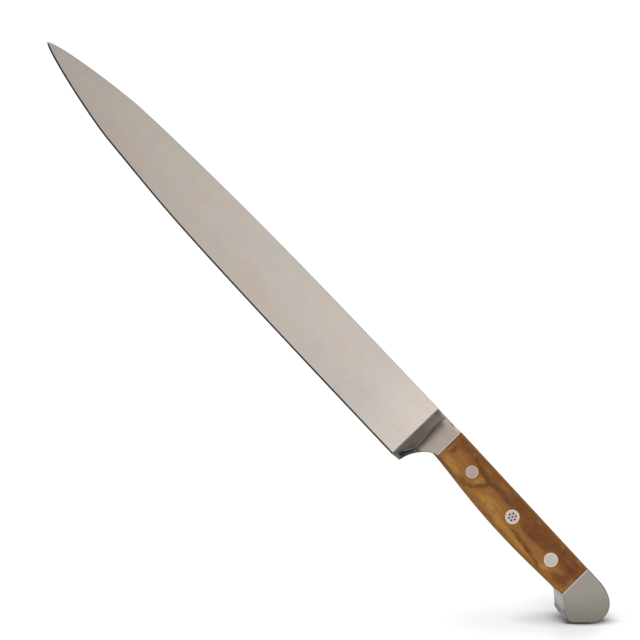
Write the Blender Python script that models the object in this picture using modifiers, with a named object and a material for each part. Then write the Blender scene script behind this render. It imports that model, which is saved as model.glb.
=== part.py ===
"""Ham knife with a forged bolster, full tang and butt cap, olive-wood scales and three two-part rivets.

The knife lies on its right side on the table. X runs from the tip to the butt, +Y is the spine side
and -Y the edge side, and Z is the thickness. While the pieces are made, x is measured from the tip and
y from the line along the knife through the tip. At the end they all hang from one empty, which centres
the knife on the origin.
"""

import math

import bmesh
import bpy
import numpy as np
from mathutils import Matrix, Vector
from mathutils.geometry import interpolate_bezier

# Blade, in metres
BLADE_LENGTH = 0.2578  # tip to the line where the bolster starts
SPINE_HEIGHT = 0.01435  # spine above the tip line, at the bolster
EDGE_DEPTH = 0.0170  # edge below the tip line, at the bolster
POINT_LENGTH = 0.055  # stretch in which the blade narrows to its point
POINT_SPINE_HEIGHT = 0.01084
POINT_SPINE_SLOPE = 0.062
POINT_EDGE_DEPTH = 0.0115
POINT_EDGE_SLOPE = 0.070
HEEL_SLOPE = 0.005  # the edge still falls a little towards the heel
SPINE_THICKNESS = 0.00284
EDGE_THICKNESS = 0.0006  # just behind the sharpened bevel, at the bolster
TIP_THICKNESS = 0.0009
EDGE_BEVEL = 0.0008

# Bolster
BOLSTER_LENGTH = 0.0147
HEEL_SETBACK = 0.0047  # heel corner behind the bolster line
HEEL_RISE = 0.0006  # heel corner above the edge's lowest point
HEEL_THICKNESS = 0.0043
HEEL_CHAMFER = 0.00135
RIDGE_INSET = 0.0007  # the ridge of the front face lies this far inside the flat sides
FRONT_FACE_ANGLE = math.radians(61)  # front face of the bolster, from the blade's side
FRONT_FILLET = 0.0004  # reach of the fillet between blade and front face, on either side
CROWN_DROP = 0.0011  # the spine is crowned at the ridge: its sides lie this much lower than its middle
CROWN_REACH = 0.0055  # and the crown reaches this far in from each side
SPINE_ROLL = 0.0006  # length of the roll from the ridge to the flat side, at the spine
BELLY_ROLL = 0.0021  # below the stretch at the spine in which it narrows
HEEL_ROLL = 0.0003  # and at the heel
ROLL_NARROWING = 0.0050
FLAT_SIDE_DEPTH = 0.0070  # the bolster's flat side reaches this far below the tip line
FLANK_FALL = 0.0020  # between flat side and heel, the sides fall this much towards the recess
RECESS_EDGE_RADIUS = 0.0004
JOINT_EDGE_BREAK = 0.00005

# Handle
HANDLE_THICKNESS = 0.018
SCALE_LENGTH = 0.0881
HANDLE_SPINE_HEIGHT = 0.01407  # spine line above the tip line, where the bolster starts
SPINE_DROP = 0.0016  # fall of the straight spine line from there to the butt cap
BELLY_AT_BOLSTER = 0.00215  # belly below the tip line
BELLY_AT_SWELL = 0.0057
BELLY_AT_CAP = 0.0048
SWELL_POSITION = 0.0560  # behind the bolster joint
SPINE_EDGE_RADIUS = 0.0015
BELLY_EDGE_RADIUS = 0.0009
TANG_THICKNESS = 0.0036

# Butt cap
CAP_LENGTH = 0.0218
CAP_SHOULDER = 0.0077  # straight stretch of the cap's spine
BUTT_HEIGHT = 0.0022  # rearmost point, above the tip line
BOTTOM_ANGLE = math.radians(46.3)  # flat bottom, from the knife's length
BOTTOM_LENGTH = 0.0110  # from the beak's corner up to the butt's curve
BEAK_DEPTH = 0.0116  # corner of the beak, below the tip line
BEAK_SETBACK = 0.0122  # behind the cap's joint
BEAK_ROUNDING = 0.0022
HOOK_DEPTH = 0.0104  # front corner of the beak
HOOK_SETBACK = 0.0069
HOOK_ANGLE = math.radians(134)  # the belly in front of it, from the knife's length
HOOK_ROUNDING = 0.0004
BELLY_TURN = math.radians(28)  # the belly turns down to the beak at the cap's joint
CAP_EDGE_RADIUS = 0.00045

# Rivets
FRONT_HEAD_DIAMETER = 0.0064
CENTRE_HEAD_DIAMETER = 0.0071
REAR_HEAD_DIAMETER = 0.0070
HEAD_THICKNESS = 0.0020
HEAD_EDGE_BREAK = 0.0001
SHANK_DIAMETER = 0.0030
SOCKET_WALL = 0.0008
FRONT_RIVET_INSET = 0.0169  # from the bolster joint
REAR_RIVET_INSET = 0.0153  # from the butt cap joint
CENTRE_RIVET_OFFSET = 0.0006  # behind the middle of the other two
FRONT_RIVET_DEPTH = 0.00925  # below the spine line
REAR_RIVET_DEPTH = 0.01013

# Fits
GLUE_LINE = 0.0001  # between tang and scale
JOINT_GAP = 0.0001  # between a scale's end and the steel
RIVET_GAP = 0.00006  # round the heads and sockets, and round the pin in its socket
END_GAP = 0.0003  # behind a head, and past the ends of pin and socket
GRIND_STEP = 0.00005  # the tang's edges lie this far below bolster and cap

# Fineness of the curved surfaces
BLADE_STATIONS = 56
JOINT_ROWS = 7
RECESS_STEPS = 14
FILLET_STEPS = 3
ROLL_STEPS = 6
FLANK_STEPS = 3
ROUND_STEPS = 3
OUTLINE_STEPS = 12
TURN_STEPS = 40

MIDDLE = HANDLE_THICKNESS / 2
FRONT_JOINT = BLADE_LENGTH + BOLSTER_LENGTH
REAR_JOINT = FRONT_JOINT + SCALE_LENGTH
BUTT = REAR_JOINT + CAP_LENGTH
OVERLAP = 0.004  # how far solids run into each other before they are joined or trimmed
BORE_RADIUS = SHANK_DIAMETER / 2 + RIVET_GAP
SOCKET_RADIUS = BORE_RADIUS + SOCKET_WALL


def clear_scene():
    for thing in list(bpy.data.objects):
        bpy.data.objects.remove(thing)


def new_collection(name):
    collection = bpy.data.collections.new(name)
    bpy.context.scene.collection.children.link(collection)
    return collection


def new_material(name, colour, roughness, metallic):
    material = bpy.data.materials.new(name)
    material.use_nodes = True
    shader = material.node_tree.nodes["Principled BSDF"]
    shader.inputs["Base Color"].default_value = (*colour, 1)
    shader.inputs["Roughness"].default_value = roughness
    shader.inputs["Metallic"].default_value = metallic
    return material


def new_object(name, data, collection):
    thing = bpy.data.objects.new(name, data)
    collection.objects.link(thing)
    return thing


def apply_modifiers(thing):
    """Replaces the object's mesh with what its modifiers make of it."""
    graph = bpy.context.evaluated_depsgraph_get()
    data = bpy.data.meshes.new_from_object(thing.evaluated_get(graph))
    thing.modifiers.clear()
    thing.data = data


def combine(thing, other, operation):
    """Joins another solid to this one or cuts it away, and uses it up."""
    modifier = thing.modifiers.new(operation.lower(), "BOOLEAN")
    modifier.operation = operation
    modifier.object = other
    apply_modifiers(thing)
    bpy.data.objects.remove(other)


def share_between(low, high, value):
    return min(max((value - low) / (high - low), 0), 1)


def towards(start, end, share):
    return (start[0] + (end[0] - start[0]) * share, start[1] + (end[1] - start[1]) * share)


def step_from(point, length, angle):
    return (point[0] + length * math.cos(angle), point[1] + length * math.sin(angle))


def curve_points(start, first_handle, second_handle, end, steps):
    knots = [Vector((*point, 0)) for point in (start, first_handle, second_handle, end)]
    return [(point.x, point.y) for point in interpolate_bezier(*knots, steps + 1)]


def blade_outline(side, bend_height, bend_slope, end_height, end_slope, handles):
    """The spine (+1) or the edge (-1) in the side view, from the tip over the bend behind the point.

    The handles of its two curves are given as shares of the point's and of the remaining length.
    """
    tip_run, tip_rise, before_bend, after_bend, before_end = handles
    run = BLADE_LENGTH - POINT_LENGTH
    tip_handle = (tip_run * POINT_LENGTH, tip_rise * bend_height)
    bend = (POINT_LENGTH, bend_height)
    bend_in = ((1 - before_bend) * POINT_LENGTH, bend_height - before_bend * POINT_LENGTH * bend_slope)
    bend_out = (POINT_LENGTH + after_bend * run, bend_height + after_bend * run * bend_slope)
    end_in = (BLADE_LENGTH - before_end * run, end_height - before_end * run * end_slope)
    point = curve_points((0, 0), tip_handle, bend_in, bend, BLADE_STATIONS)
    rest = curve_points(bend, bend_out, end_in, (BLADE_LENGTH, end_height), BLADE_STATIONS)
    return np.array(point + rest[1:]) * (1, side)


SPINE_OUTLINE = blade_outline(
    1, POINT_SPINE_HEIGHT, POINT_SPINE_SLOPE, SPINE_HEIGHT, 0, (0.08, 0.38, 0.20, 0.37, 0.22)
)
EDGE_OUTLINE = blade_outline(
    -1, POINT_EDGE_DEPTH, POINT_EDGE_SLOPE, EDGE_DEPTH, HEEL_SLOPE, (0.05, 0.27, 0.235, 0.22, 0.80)
)


def blade_spine(x):
    return float(np.interp(x, SPINE_OUTLINE[:, 0], SPINE_OUTLINE[:, 1]))


def blade_edge(x):
    return float(np.interp(x, EDGE_OUTLINE[:, 0], EDGE_OUTLINE[:, 1]))


def handle_spine(x):
    """The straight spine line of bolster, scales and butt cap."""
    return HANDLE_SPINE_HEIGHT - SPINE_DROP * (x - BLADE_LENGTH) / (REAR_JOINT - BLADE_LENGTH)


def blade_half(x, y):
    """Half the blade's thickness. It is linear in x and y, so each side of the blade is one flat plane."""
    fall = (SPINE_THICKNESS - EDGE_THICKNESS) / 2 / (SPINE_HEIGHT + EDGE_DEPTH)
    at_bolster = SPINE_THICKNESS / 2 - fall * SPINE_HEIGHT
    at_tip = TIP_THICKNESS / 2
    return at_tip + (at_bolster - at_tip) * x / BLADE_LENGTH + fall * y


def recess_points():
    """The finger recess in the side view, from above the heel corner to the belly at the bolster joint."""
    heel = (BLADE_LENGTH + HEEL_SETBACK, -EDGE_DEPTH + HEEL_CHAMFER)
    joint = (FRONT_JOINT, -BELLY_AT_BOLSTER)
    run, rise = joint[0] - heel[0], joint[1] - heel[1]
    first_handle = (heel[0] + 0.09 * run, heel[1] + 0.50 * rise)
    second_handle = (heel[0] + 0.47 * run, joint[1] - 0.065 * rise)
    return curve_points(heel, first_handle, second_handle, joint, RECESS_STEPS)


def outward_normal(points, index):
    """Normal of an outline that is walked with the steel on its left."""
    before, after = points[max(index - 1, 0)], points[min(index + 1, len(points) - 1)]
    along = Vector((after[0] - before[0], after[1] - before[1])).normalized()
    return Vector((along.y, -along.x))


def roll_length(y):
    """Length of the roll from the ridge to the side, which narrows at the spine and towards the heel."""
    near_spine = share_between(SPINE_HEIGHT - ROLL_NARROWING, SPINE_HEIGHT, y)
    above_heel = share_between(-EDGE_DEPTH + HEEL_CHAMFER, -FLAT_SIDE_DEPTH, y)
    narrowed = (BELLY_ROLL - SPINE_ROLL) * near_spine + (BELLY_ROLL - HEEL_ROLL) * (1 - above_heel)
    return BELLY_ROLL - narrowed


def ridge_half(y):
    """Half the bolster's thickness at the ridge of its front face, which thins towards the heel."""
    share = share_between(-EDGE_DEPTH + HEEL_CHAMFER, SPINE_HEIGHT, y)
    heel = HEEL_THICKNESS / 2
    inset = RIDGE_INSET * min(roll_length(max(y, 0)) / BELLY_ROLL, 1)
    return heel + (MIDDLE - inset - heel) * (1 - (1 - share ** 0.65) ** 2)


def side_half(y):
    """Half the bolster's thickness behind the ridge: flat, and falling away to the heel below the belly."""
    share = share_between(-EDGE_DEPTH + HEEL_CHAMFER, -FLAT_SIDE_DEPTH, y)
    heel = HEEL_THICKNESS / 2
    return heel + (MIDDLE - heel) * (1 - (1 - share) ** 1.2)


def flank_fall(y):
    """How far the side has fallen at the recess, most of all midway between flat side and heel."""
    share = share_between(-EDGE_DEPTH + HEEL_CHAMFER, -FLAT_SIDE_DEPTH, y)
    return 4 * FLANK_FALL * share * (1 - share)


def fillet_points(foot, ridge):
    """The fillet at the foot of the bolster's front face, which starts on the blade's side in front of it."""
    start = Vector((foot.x - FRONT_FILLET, foot.y, blade_half(foot.x - FRONT_FILLET, foot.y)))
    end = foot + FRONT_FILLET * (ridge - foot).normalized()
    shares = [step / FILLET_STEPS for step in range(FILLET_STEPS + 1)]
    return [tuple(start.lerp(foot, share).lerp(foot.lerp(end, share), share)) for share in shares]


def bolster_points(foot, end, normal, edge_radius):
    """One row of points (x, y, half thickness) over the bolster's side, from the blade to its end.

    foot is the point where the blade's side and the front face would meet without their fillet.
    """
    y = end[1]
    ridge = ridge_half(y)
    ridge_x = BLADE_LENGTH + (ridge - foot.z) / math.tan(FRONT_FACE_ANGLE)
    flat = max(side_half(y), ridge)
    roll_end = min(ridge_x + roll_length(y), end[0] - (normal.x + 1) * edge_radius)
    edge_half = flat - flank_fall(y)
    points = fillet_points(foot, Vector((ridge_x, y, ridge)))
    for step in range(ROLL_STEPS + 1):
        share = step / ROLL_STEPS
        rise = math.sin(math.pi / 2 * share)
        points.append((ridge_x + (roll_end - ridge_x) * share, y, ridge + (flat - ridge) * rise))
    round_start = (end[0] - normal.x * edge_radius, y - normal.y * edge_radius)
    for step in range(1, FLANK_STEPS):
        share = step / FLANK_STEPS
        place = towards((roll_end, y), round_start, share)
        points.append((*place, flat + (edge_half - flat) * (1 - math.cos(math.pi / 2 * share))))
    for step in range(ROUND_STEPS + 1):
        turn = math.pi / 2 * step / ROUND_STEPS
        back = edge_radius * (1 - math.sin(turn))
        half = edge_half - edge_radius * (1 - math.cos(turn))
        points.append((end[0] - normal.x * back, y - normal.y * back, half))
    return points


def forging_rows():
    """Rows of points (x, y, half thickness) from the rounded spine down to the shoulder of the edge bevel.

    Each row runs from the tip to the bolster's end, and all have the same number of points.
    """
    recess = recess_points()
    ends = [
        (point, outward_normal(recess, index), RECESS_EDGE_RADIUS)
        for index, point in enumerate(recess)
    ]
    low, high = -BELLY_AT_BOLSTER, handle_spine(FRONT_JOINT) - SPINE_EDGE_RADIUS
    for step in range(1, JOINT_ROWS + 1):
        y = low + (high - low) * step / JOINT_ROWS
        ends.append(((FRONT_JOINT, y), Vector((1, 0)), JOINT_EDGE_BREAK))
    ends.reverse()

    stations = [
        BLADE_LENGTH * (index / BLADE_STATIONS) ** 1.6 for index in range(1, BLADE_STATIONS)
    ]
    radius_share = SPINE_EDGE_RADIUS / MIDDLE
    top_end, bottom_end = ends[0][0][1], ends[-1][0][1]
    rows = []
    for end, normal, edge_radius in ends:
        share = (top_end - end[1]) / (top_end - bottom_end)
        row = []
        for x in [*stations, BLADE_LENGTH]:
            spine, edge = blade_spine(x), blade_edge(x)
            row_top = spine - radius_share * blade_half(x, spine)
            row_bottom = edge + min(EDGE_BEVEL, (spine - edge) / 3)
            y = row_top + (row_bottom - row_top) * share
            row.append((x, y, blade_half(x, y)))
        foot = Vector(row.pop())
        rows.append(row + bolster_points(foot, end, normal, edge_radius))

    ridge_index = len(stations) + FILLET_STEPS + 1
    ridge_x = rows[0][ridge_index][0]
    corners = [(radius_share * half, radius_share * half) for _, _, half in rows[0][:ridge_index]]
    for index, (x, _, half) in enumerate(rows[0][ridge_index:], ridge_index):
        share = share_between(ridge_x, FRONT_JOINT, x)
        drop = CROWN_DROP + (SPINE_EDGE_RADIUS - CROWN_DROP) * share
        reach = CROWN_REACH + (SPINE_EDGE_RADIUS - CROWN_REACH) * share
        corners.append((drop, reach))
        rows[0][index] = (x, handle_spine(x) - drop, half)
    rounded = []
    for step in range(ROUND_STEPS, 0, -1):
        turn = math.pi / 2 * step / ROUND_STEPS
        row = []
        for (x, y, half), (drop, reach) in zip(rows[0], corners):
            row.append((x, y + drop * math.sin(turn), half - reach * (1 - math.cos(turn))))
        rounded.append(row)
    return rounded + rows


def edge_points(shoulder_row):
    """The cutting edge, from the tip to the heel corner."""
    points = []
    for x, _, _ in shoulder_row:
        share = share_between(BLADE_LENGTH, shoulder_row[-1][0], x)
        if share > 0:
            x = BLADE_LENGTH + HEEL_SETBACK * share
        points.append((x, blade_edge(x) + HEEL_RISE * share, 0))
    return points


def blade_and_bolster(collection):
    """A loft of the rows on both sides, closed at the spine, the edge, the point and the bolster's end."""
    rows = forging_rows()
    mesh = bmesh.new()

    def add(point, side):
        return mesh.verts.new((point[0], point[1], MIDDLE + side * point[2]))

    left = [[add(point, 1) for point in row] for row in rows]
    right = [[add(point, -1) for point in row] for row in rows]
    edge = [add(point, 1) for point in edge_points(rows[-1])]
    tip = mesh.verts.new((0, 0, MIDDLE))

    for side in (left, right):
        for upper, lower in zip(side, side[1:] + [edge]):
            mesh.faces.new((tip, upper[0], lower[0]))
            for corners in zip(upper, upper[1:], lower[1:], lower):
                mesh.faces.new(corners)
    mesh.faces.new((tip, left[0][0], right[0][0]))
    for corners in zip(left[0], left[0][1:], right[0][1:], right[0]):
        mesh.faces.new(corners)
    for upper, lower, lower_right, upper_right in zip(left, left[1:], right[1:], right):
        mesh.faces.new((upper[-1], lower[-1], lower_right[-1], upper_right[-1]))
    mesh.faces.new((left[-1][-1], edge[-1], right[-1][-1]))

    bmesh.ops.recalc_face_normals(mesh, faces=mesh.faces)
    data = bpy.data.meshes.new("forging")
    mesh.to_mesh(data)
    mesh.free()
    return new_object("forging", data, collection)


def outline_solid(name, knots, low, high, collection):
    """A solid between two heights, from an outline of Bezier knots: point, handle before, handle after."""
    curve = bpy.data.curves.new(name, "CURVE")
    curve.dimensions = "2D"
    curve.fill_mode = "BOTH"
    curve.resolution_u = OUTLINE_STEPS
    curve.extrude = (high - low) / 2
    spline = curve.splines.new("BEZIER")
    spline.bezier_points.add(len(knots) - 1)
    spline.use_cyclic_u = True
    for knot, (point, before, after) in zip(spline.bezier_points, knots):
        knot.handle_left_type = knot.handle_right_type = "FREE"
        knot.co = (*point, 0)
        knot.handle_left = (*before, 0)
        knot.handle_right = (*after, 0)
    outline = new_object(name + "_outline", curve, collection)
    outline.location.z = (low + high) / 2
    bpy.context.view_layer.update()
    graph = bpy.context.evaluated_depsgraph_get()
    data = bpy.data.meshes.new_from_object(outline.evaluated_get(graph))
    data.transform(outline.matrix_world)
    bpy.data.objects.remove(outline)

    mesh = bmesh.new()
    mesh.from_mesh(data)
    bmesh.ops.remove_doubles(mesh, verts=mesh.verts, dist=1e-6)
    bmesh.ops.dissolve_limit(mesh, angle_limit=math.radians(0.05), verts=mesh.verts, edges=mesh.edges)
    bmesh.ops.recalc_face_normals(mesh, faces=mesh.faces)
    mesh.to_mesh(data)
    mesh.free()
    return new_object(name, data, collection)


def corner(point):
    """A knot with no curve on either side."""
    return (point, point, point)


def handle_knots(inset):
    """Outline of the handle between the steel ends, run on past both joints, and drawn in by inset."""
    start, end = FRONT_JOINT - OVERLAP, REAR_JOINT + OVERLAP
    front = (FRONT_JOINT, -BELLY_AT_BOLSTER + inset)
    swell = (FRONT_JOINT + SWELL_POSITION, -BELLY_AT_SWELL + inset)
    back = (REAR_JOINT, -BELLY_AT_CAP + inset)
    behind = (end, back[1])
    ahead = (start, front[1])
    return [
        corner((start, handle_spine(start) - inset)),
        corner((end, handle_spine(end) - inset)),
        corner(behind),
        (back, towards(back, behind, 0.3), towards(back, swell, 0.28)),
        (swell, towards(swell, (back[0], swell[1]), 0.4), towards(swell, (front[0], swell[1]), 0.5)),
        (front, towards(front, (swell[0], front[1]), 0.18), towards(front, ahead, 0.3)),
        corner(ahead),
    ]


def cap_knots():
    """Outline of the butt cap, run on in front of its joint: spine, butt, flat bottom, beak and belly."""
    front = REAR_JOINT - OVERLAP
    spine_start = (front, handle_spine(front))
    shoulder_x = REAR_JOINT + CAP_SHOULDER
    shoulder = (shoulder_x, handle_spine(shoulder_x))
    top = (BUTT, handle_spine(BUTT))
    butt = (BUTT, BUTT_HEIGHT)
    beak = (REAR_JOINT + BEAK_SETBACK, -BEAK_DEPTH)
    bottom_start = step_from(beak, BOTTOM_LENGTH, BOTTOM_ANGLE)
    bottom_end = step_from(beak, BEAK_ROUNDING, BOTTOM_ANGLE)
    hook = (REAR_JOINT + HOOK_SETBACK, -HOOK_DEPTH)
    underside = math.atan2(hook[1] - beak[1], hook[0] - beak[0])
    beak_end = step_from(beak, BEAK_ROUNDING, underside)
    belly = (REAR_JOINT, -BELLY_AT_CAP)
    hook_start = step_from(hook, -HOOK_ROUNDING, underside)
    hook_end = towards(hook, belly, HOOK_ROUNDING / HOOK_SETBACK)
    return [
        corner(spine_start),
        (shoulder, towards(shoulder, spine_start, 0.3), towards(shoulder, top, 0.65)),
        (butt, towards(butt, top, 0.56), towards(butt, (BUTT, bottom_start[1]), 0.45)),
        (bottom_start, towards(bottom_start, bottom_end, -0.25), towards(bottom_start, bottom_end, 0.3)),
        (bottom_end, towards(bottom_end, bottom_start, 0.3), towards(bottom_end, beak, 0.6)),
        (beak_end, towards(beak_end, beak, 0.6), towards(beak_end, hook, 0.3)),
        (hook_start, towards(hook_start, beak_end, 0.3), towards(hook_start, hook, 0.6)),
        (hook_end, towards(hook_end, hook, 0.6), step_from(hook_end, HOOK_SETBACK / 3, HOOK_ANGLE)),
        (belly, step_from(belly, HOOK_SETBACK / 3, -BELLY_TURN), towards(belly, (front, belly[1]), 0.3)),
        corner((front, belly[1])),
    ]


def round_rims(solid, heights, spine_radius, belly_radius):
    """Rounds the rims at the given heights, with one radius above the tip line and another below it."""
    mesh = bmesh.new()
    mesh.from_mesh(solid.data)
    weight = mesh.edges.layers.float.new("bevel_weight_edge")
    widest = max(spine_radius, belly_radius)
    for edge in mesh.edges:
        ends = [end.co for end in edge.verts]
        if any(all(abs(co.z - height) < 1e-6 for co in ends) for height in heights):
            edge[weight] = (spine_radius if ends[0].y + ends[1].y > 0 else belly_radius) / widest
    mesh.to_mesh(solid.data)
    mesh.free()
    bevel = solid.modifiers.new("round", "BEVEL")
    bevel.limit_method = "WEIGHT"
    bevel.width = widest
    bevel.segments = ROUND_STEPS
    apply_modifiers(solid)


def trim(solid, x, side):
    """Cuts the solid off square at x, and keeps the part in front of the cut (-1) or behind it (+1)."""
    mesh = bmesh.new()
    mesh.from_mesh(solid.data)
    everything = mesh.verts[:] + mesh.edges[:] + mesh.faces[:]
    bmesh.ops.bisect_plane(
        mesh, geom=everything, dist=1e-7, plane_co=(x, 0, 0), plane_no=(-side, 0, 0), clear_outer=True
    )
    bmesh.ops.contextual_create(mesh, geom=[edge for edge in mesh.edges if edge.is_boundary])
    bmesh.ops.recalc_face_normals(mesh, faces=mesh.faces)
    mesh.to_mesh(solid.data)
    mesh.free()


def turned(name, profile, place, collection):
    """A body turned from a profile of (radius, height) points, listed from its top down its outer side."""
    data = bpy.data.meshes.new(name)
    points = [(radius, 0, height) for radius, height in profile]
    data.from_pydata(points, [(index, index + 1) for index in range(len(points) - 1)], [])
    body = new_object(name, data, collection)
    screw = body.modifiers.new("turn", "SCREW")
    screw.steps = screw.render_steps = TURN_STEPS
    screw.use_merge_vertices = True
    screw.merge_threshold = 1e-6
    apply_modifiers(body)
    body.data.transform(Matrix.Translation((*place, 0)))
    body.data.shade_smooth()
    body.data.set_sharp_from_angle(angle=math.radians(30))
    return body


def cut_turned(body, name, profile, place, cutters):
    """Cuts a turned hole into the body."""
    tool = turned(name, profile, place, cutters)
    tool.hide_render = True
    tool.display_type = "WIRE"
    combine(body, tool, "DIFFERENCE")


def rivet_places():
    """Name, centre and head diameter of each rivet."""
    front_x = FRONT_JOINT + FRONT_RIVET_INSET
    rear_x = REAR_JOINT - REAR_RIVET_INSET
    front = (front_x, handle_spine(front_x) - FRONT_RIVET_DEPTH)
    rear = (rear_x, handle_spine(rear_x) - REAR_RIVET_DEPTH)
    centre = towards(front, rear, 0.5 + CENTRE_RIVET_OFFSET / (rear_x - front_x))
    return [
        ("front", front, FRONT_HEAD_DIAMETER),
        ("centre", centre, CENTRE_HEAD_DIAMETER),
        ("rear", rear, REAR_HEAD_DIAMETER),
    ]


def forging(collection, cutters):
    """Blade, bolster, full tang and butt cap in one piece of steel."""
    body = blade_and_bolster(collection)
    half = TANG_THICKNESS / 2
    tang = outline_solid("tang", handle_knots(GRIND_STEP), MIDDLE - half, MIDDLE + half, collection)
    cap = outline_solid("cap", cap_knots(), 0, HANDLE_THICKNESS, collection)
    round_rims(cap, (0, HANDLE_THICKNESS), CAP_EDGE_RADIUS, CAP_EDGE_RADIUS)
    trim(cap, REAR_JOINT, 1)
    combine(body, tang, "UNION")
    combine(body, cap, "UNION")
    radius = SOCKET_RADIUS + RIVET_GAP
    hole = [(0, HANDLE_THICKNESS), (radius, HANDLE_THICKNESS), (radius, 0), (0, 0)]
    for name, place, _ in rivet_places():
        cut_turned(body, name + "_tang_hole", hole, place, cutters)
    return body


def left_scale(collection, cutters):
    """The handle scale on the left of the tang, with a counterbored hole for each rivet."""
    inner = MIDDLE + TANG_THICKNESS / 2 + GLUE_LINE
    body = outline_solid("left_scale", handle_knots(0), inner, HANDLE_THICKNESS, collection)
    round_rims(body, (HANDLE_THICKNESS,), SPINE_EDGE_RADIUS, BELLY_EDGE_RADIUS)
    trim(body, FRONT_JOINT + JOINT_GAP, 1)
    trim(body, REAR_JOINT - JOINT_GAP, -1)
    shoulder = HANDLE_THICKNESS - HEAD_THICKNESS - END_GAP
    above = HANDLE_THICKNESS + OVERLAP
    shank_radius = SOCKET_RADIUS + RIVET_GAP
    for name, place, diameter in rivet_places():
        head_radius = diameter / 2 + RIVET_GAP
        hole = [
            (0, above),
            (head_radius, above),
            (head_radius, shoulder),
            (shank_radius, shoulder),
            (shank_radius, 0),
            (0, 0),
        ]
        cut_turned(body, name + "_scale_hole", hole, place, cutters)
    return body


def mirrored(body, name, collection):
    """The same piece on the other side of the tang."""
    data = body.data.copy()
    data.transform(Matrix.Translation((0, 0, HANDLE_THICKNESS)) @ Matrix.Scale(-1, 4, (0, 0, 1)))
    data.flip_normals()
    return new_object(name, data, collection)


def rivet(name, place, diameter, collection):
    """A cutler's rivet: a headed pin from the left side, pressed into a headed tube from the right side."""
    head, shank = diameter / 2, SHANK_DIAMETER / 2
    top, bottom = HANDLE_THICKNESS, 0
    under_head = top - HEAD_THICKNESS
    bore_end = bottom + HEAD_THICKNESS
    pin_end = bore_end + END_GAP
    mouth = under_head - END_GAP
    pin_profile = [
        (0, top),
        (head - HEAD_EDGE_BREAK, top),
        (head, top - HEAD_EDGE_BREAK),
        (head, under_head),
        (shank, under_head),
        (shank, pin_end + HEAD_EDGE_BREAK),
        (shank - HEAD_EDGE_BREAK, pin_end),
        (0, pin_end),
    ]
    socket_profile = [
        (0, bore_end),
        (BORE_RADIUS, bore_end),
        (BORE_RADIUS, mouth),
        (SOCKET_RADIUS, mouth),
        (SOCKET_RADIUS, bore_end),
        (head, bore_end),
        (head, bottom + HEAD_EDGE_BREAK),
        (head - HEAD_EDGE_BREAK, bottom),
        (0, bottom),
    ]
    return [
        turned(name + "_rivet_pin", pin_profile, place, collection),
        turned(name + "_rivet_socket", socket_profile, place, collection),
    ]


def dress(thing, material):
    thing.data.materials.clear()
    thing.data.materials.append(material)


def main():
    clear_scene()
    knife = new_collection("ham_knife")
    cutters = new_collection("cutters")
    steel = new_material("satin_steel", (0.45, 0.42, 0.39), 0.35, 1)
    rivet_steel = new_material("rivet_steel", (0.52, 0.49, 0.45), 0.3, 1)
    olive_wood = new_material("olive_wood", (0.32, 0.14, 0.05), 0.5, 0)

    pieces = [forging(knife, cutters)]
    dress(pieces[0], steel)
    left = left_scale(knife, cutters)
    dress(left, olive_wood)
    pieces += [left, mirrored(left, "right_scale", knife)]
    for name, place, diameter in rivet_places():
        for half in rivet(name, place, diameter, knife):
            pieces.append(half)
            dress(half, rivet_steel)

    frame = new_object("knife_frame", None, knife)
    middle_y = (SPINE_OUTLINE[:, 1].max() + EDGE_OUTLINE[:, 1].min()) / 2
    frame.location = (-BUTT / 2, -middle_y, 0)
    for piece in pieces:
        piece.parent = frame


main()
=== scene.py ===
"""Finished look of a ham knife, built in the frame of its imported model.

The knife lies on its right side on a pale floor. X runs from the tip to the butt, +Y is the spine side,
-Y the edge side and +Z is up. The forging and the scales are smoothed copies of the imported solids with
a finish for each of their surfaces, the rivets are modelled here, and the stage holds floor, sky,
softbox and camera.
"""

import math

import bmesh
import bpy
from bpy.props import FloatProperty, FloatVectorProperty, PointerProperty
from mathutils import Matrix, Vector


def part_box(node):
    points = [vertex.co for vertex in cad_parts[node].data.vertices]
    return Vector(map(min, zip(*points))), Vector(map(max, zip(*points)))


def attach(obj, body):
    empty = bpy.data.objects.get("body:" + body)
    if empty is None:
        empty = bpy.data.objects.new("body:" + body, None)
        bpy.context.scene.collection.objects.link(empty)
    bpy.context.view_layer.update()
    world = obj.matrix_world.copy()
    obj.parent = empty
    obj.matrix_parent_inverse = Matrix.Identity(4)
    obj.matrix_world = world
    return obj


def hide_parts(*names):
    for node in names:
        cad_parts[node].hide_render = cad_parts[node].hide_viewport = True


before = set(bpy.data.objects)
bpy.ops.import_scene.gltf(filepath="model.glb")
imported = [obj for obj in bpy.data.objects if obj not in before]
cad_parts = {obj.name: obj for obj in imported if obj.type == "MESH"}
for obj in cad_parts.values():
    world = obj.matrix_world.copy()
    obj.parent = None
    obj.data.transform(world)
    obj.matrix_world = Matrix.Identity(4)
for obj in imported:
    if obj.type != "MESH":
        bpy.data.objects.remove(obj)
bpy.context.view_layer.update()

bl_info = {
    "name": "Ham knife",
    "version": (1, 0, 0),
    "blender": (4, 5, 0),
    "location": "3D View > Sidebar > Ham knife",
    "description": "Models and finishes a forged ham knife with riveted olive-wood scales",
    "category": "Object",
}

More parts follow.
